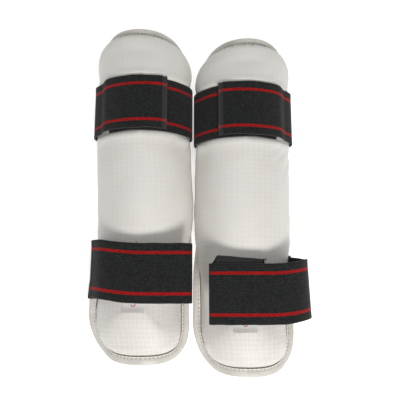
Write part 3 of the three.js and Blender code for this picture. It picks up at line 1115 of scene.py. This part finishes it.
def free_route(guard, start, along):
    """The lower strap where it stands off the guard, with its share of the way over the front."""
    splay = guard["splay"] * (-along - STRAP_CENTRE) / STRAP_WIDTH
    side = [(out + splay, up) for out, up in guard["shoulder"]]
    spans = len(guard["over"]) - 1
    over = [(out + splay * (1 - k / spans), up) for k, (out, up) in enumerate(guard["over"])]
    route = spline([start, *side, *over[1:]])
    before = len(side)
    route[:, 2] = np.clip((route[:, 2] * (before + spans) - before) / spans, 0, 1)
    return route


def lower_route(guard, along):
    half_width = half_width_at(along)
    hug = front_route(
        guard, half_width - FRONT_INSET, half_width - guard["leaves"], on_cover, along)
    free = free_route(guard, hug[-1, :2], along)
    return np.vstack([wrap_route(guard, 1, along), hug, free[1:]])


def folded_route(guard, drop, start, stop, along):
    """Back from the fold under the band, from start to stop millimetres along it."""
    route = lower_route(guard, along)
    route = even_route(route[route[:, 2] > 0.1][::-1], 240)
    run = run_along(route)
    kept = (run >= start) & (run <= stop)
    return with_share(route[kept, 0], route[kept, 1] - drop, run[kept] / TAIL_LENGTH)


def fold_route(guard, along):
    """The half turn from the band's inner face to the tail's."""
    end = lower_route(guard, along)[-1]
    radius = TAIL_DROP / 2
    turns = np.linspace(math.pi / 2, 1.5 * math.pi, 15)
    return with_share(end[0] + radius * np.cos(turns), end[1] - radius + radius * np.sin(turns))


FRAYED_THREADS = 26


def frayed_threads(guard, tail):
    """Loose ends of elastic at the cut end of the tail, mostly at its upper corner."""
    points = read_points(tail)
    flat = read_flat(tail)
    cut = np.flatnonzero(flat[:, 0] > flat[:, 0].max() - 0.2)
    cut = cut[np.argsort(-flat[cut, 1])]
    random = np.random.default_rng(31 + guard["side"])
    chosen = cut[(len(cut) * random.uniform(0, 1, FRAYED_THREADS) ** 2.5).astype(int)]
    ways = unit(random.normal((guard["side"], 0.3, 0), (0.3, 0.6, 0.35), (FRAYED_THREADS, 3)))
    normals = unit(np.cross(ways, (0, 1, 0.2)))
    stitch_row(guard, "frayed_threads", "lower_tail", points[chosen], ways, normals, 3.2, 0.16,
               BLACK_THREAD)


def lower_straps(guard):
    name = guard["name"]
    elastic = (-STRAP_CENTRE, STRAP, "strap")
    side, shift = guard["side_shift"], guard["band_shift"]
    near_fold, far_end = guard["tail_shift"]

    def band_shift(route):
        return side * smooth(route[:, 1], 8, 34) + (shift - side) * smooth(route[:, 2], 0, 0.6)

    def tail_shift(route):
        return shift + mix(near_fold, far_end, route[:, 2]) * smooth(route[:, 2], 0, 0.12)

    band = ribbon(
        guard, "lower_strap_band", lambda along: lower_route(guard, along), *elastic,
        shift_at=band_shift, seed=9, curl=0.35)
    blend_up(guard, band, "guard", "lower_band", *guard["band_turns"])
    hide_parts(f"{name}_lower_strap_base", f"{name}_lower_strap")
    fold = ribbon(
        guard, "lower_strap_fold", lambda along: fold_route(guard, along), *elastic,
        shift_at=lambda route: shift, step=0.5, curl=0)
    end_height = lower_route(guard, -STRAP_CENTRE)[-1, 1]
    blend_up(guard, fold, "lower_band", "lower_tail", end_height, end_height - TAIL_DROP)
    tail = ribbon(
        guard, "lower_strap_end", lambda along: folded_route(guard, TAIL_DROP, 0, TAIL_LENGTH, along),
        *elastic, "lower_tail", shift_at=tail_shift, seed=12)
    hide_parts(f"{name}_lower_strap_tail")
    frayed_threads(guard, tail)
    hooks = ribbon(
        guard, "lower_hooks", lambda along: folded_route(guard, GAP, 3, TAIL_LENGTH - 2, along),
        -STRAP_CENTRE, HOOK, "hook", "lower_tail", width=STRAP_WIDTH - 1,
        thickness=PATCH_THICKNESS, shift_at=tail_shift, curl=0)
    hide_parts(f"{name}_lower_hook_patch")
    tab = ribbon(
        guard, "lower_loop_tab_strap", lambda along: with_share(
            *bend(guard, np.linspace(10 - half_width_at(along), PATCH_REACH, 50), along, -0.8)),
        *elastic, "guard", seed=15, curl=0.15)
    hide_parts(f"{name}_lower_loop_tab")


# ---- label ----

LABEL_LENGTH = 15
LABEL_THICKNESS = 0.5
LABEL_LIFT = 1
LETTER_S = [(0.36, 0.36), (0.14, 0.5), (-0.24, 0.46), (-0.36, 0.24), (-0.16, 0.05), (0.16, -0.06),
            (0.36, -0.26), (0.22, -0.48), (-0.12, -0.5), (-0.36, -0.36)]
LETTER_HEIGHT = 6.5
LETTER_NARROW = 0.55
LETTER_PLACE = 9


def size_label(guard):
    """A small woven label with a size letter, sewn on below the lower strap."""
    inner, outer, low = guard["label"]
    name = guard["name"]
    label = ribbon(guard, "size_label_ribbon", lambda along: front_route(
        guard, outer, inner, lambda across: LABEL_LIFT, along,
    ), low + LABEL_LENGTH / 2, LABEL, "label", "guard", width=LABEL_LENGTH,
        thickness=LABEL_THICKNESS, curl=0.5, seed=18, step=0.8)
    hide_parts(f"{name}_size_label")
    letter = spline(LETTER_S, 6)[:, :2] * LETTER_HEIGHT
    across = (inner + outer) / 2 + guard["side"] * letter[:, 0] * LETTER_NARROW
    along = low + LETTER_PLACE + letter[:, 1]
    lift = LABEL_LIFT + LABEL_THICKNESS + 0.05
    line = on_guard(guard, across, along, front_height(across, along) + lift)
    ways = unit(np.gradient(line, axis=0))
    normals = np.tile([0.0, 0.0, 1.0], (len(line), 1))
    stitch_row(guard, "size_letter", "guard", line, ways, normals, 1.5, 0.3, RED_THREAD)


# ---- the pair ----

for guard in GUARDS:
    place_guard(guard)
    front_cover(guard)
    foam_core(guard)
    back_lining(guard)
    edge_binding(guard)
    upper_straps(guard)
    lower_straps(guard)
    size_label(guard)


# ---- floor, light and camera ----

def floor():
    bpy.ops.mesh.primitive_plane_add(size=6, location=(0, 0, -0.0002))
    ground = bpy.context.object
    ground.name = "floor"
    look = bpy.data.materials.new("floor_paper")
    look.use_nodes = True
    shader = look.node_tree.nodes["Principled BSDF"]
    for socket, value in (("Base Color", (0.93, 0.93, 0.93, 1)), ("Roughness", 0.9),
                          ("Emission Color", (1, 1, 1, 1)), ("Emission Strength", 0.55)):
        shader.inputs[socket].default_value = value
    ground.data.materials.append(look)


def area_light(name, place, aim, size, power, colour=(1, 1, 1)):
    data = bpy.data.lights.new(name, "AREA")
    data.energy = power
    data.size = size
    data.color = colour
    light = add_object(name, data)
    light.location = place
    way = Vector(aim) - Vector(place)
    light.rotation_euler = way.to_track_quat("-Z", "Y").to_euler()


def world(strength):
    sky = bpy.data.worlds.new("sky")
    sky.use_nodes = True
    background = sky.node_tree.nodes["Background"]
    background.inputs["Color"].default_value = (1, 1, 1, 1)
    background.inputs["Strength"].default_value = strength
    bpy.context.scene.world = sky


# Over the table, tilted a little toward the knee ends
CAMERA_PLACE = (0.0045, -0.08075, 0.464)
CAMERA_TILT = math.radians(10)
LENS = 43.2
SENSOR_WIDTH = 36


def camera():
    data = bpy.data.cameras.new("camera")
    data.lens = LENS
    data.sensor_width = SENSOR_WIDTH
    view = add_object("camera", data)
    view.location = CAMERA_PLACE
    view.rotation_euler = (CAMERA_TILT, 0, 0)
    bpy.context.scene.camera = view


floor()
world(0.27)
area_light("window", (0.22, -0.68, 0.8), (0, 0, 0.03), 0.26, 7.2, (1, 0.985, 0.96))
area_light("ceiling", (-0.1, 0.3, 1.3), (0, 0, 0), 1.0, 4.5)
camera()
bpy.context.scene.view_settings.view_transform = "Standard"
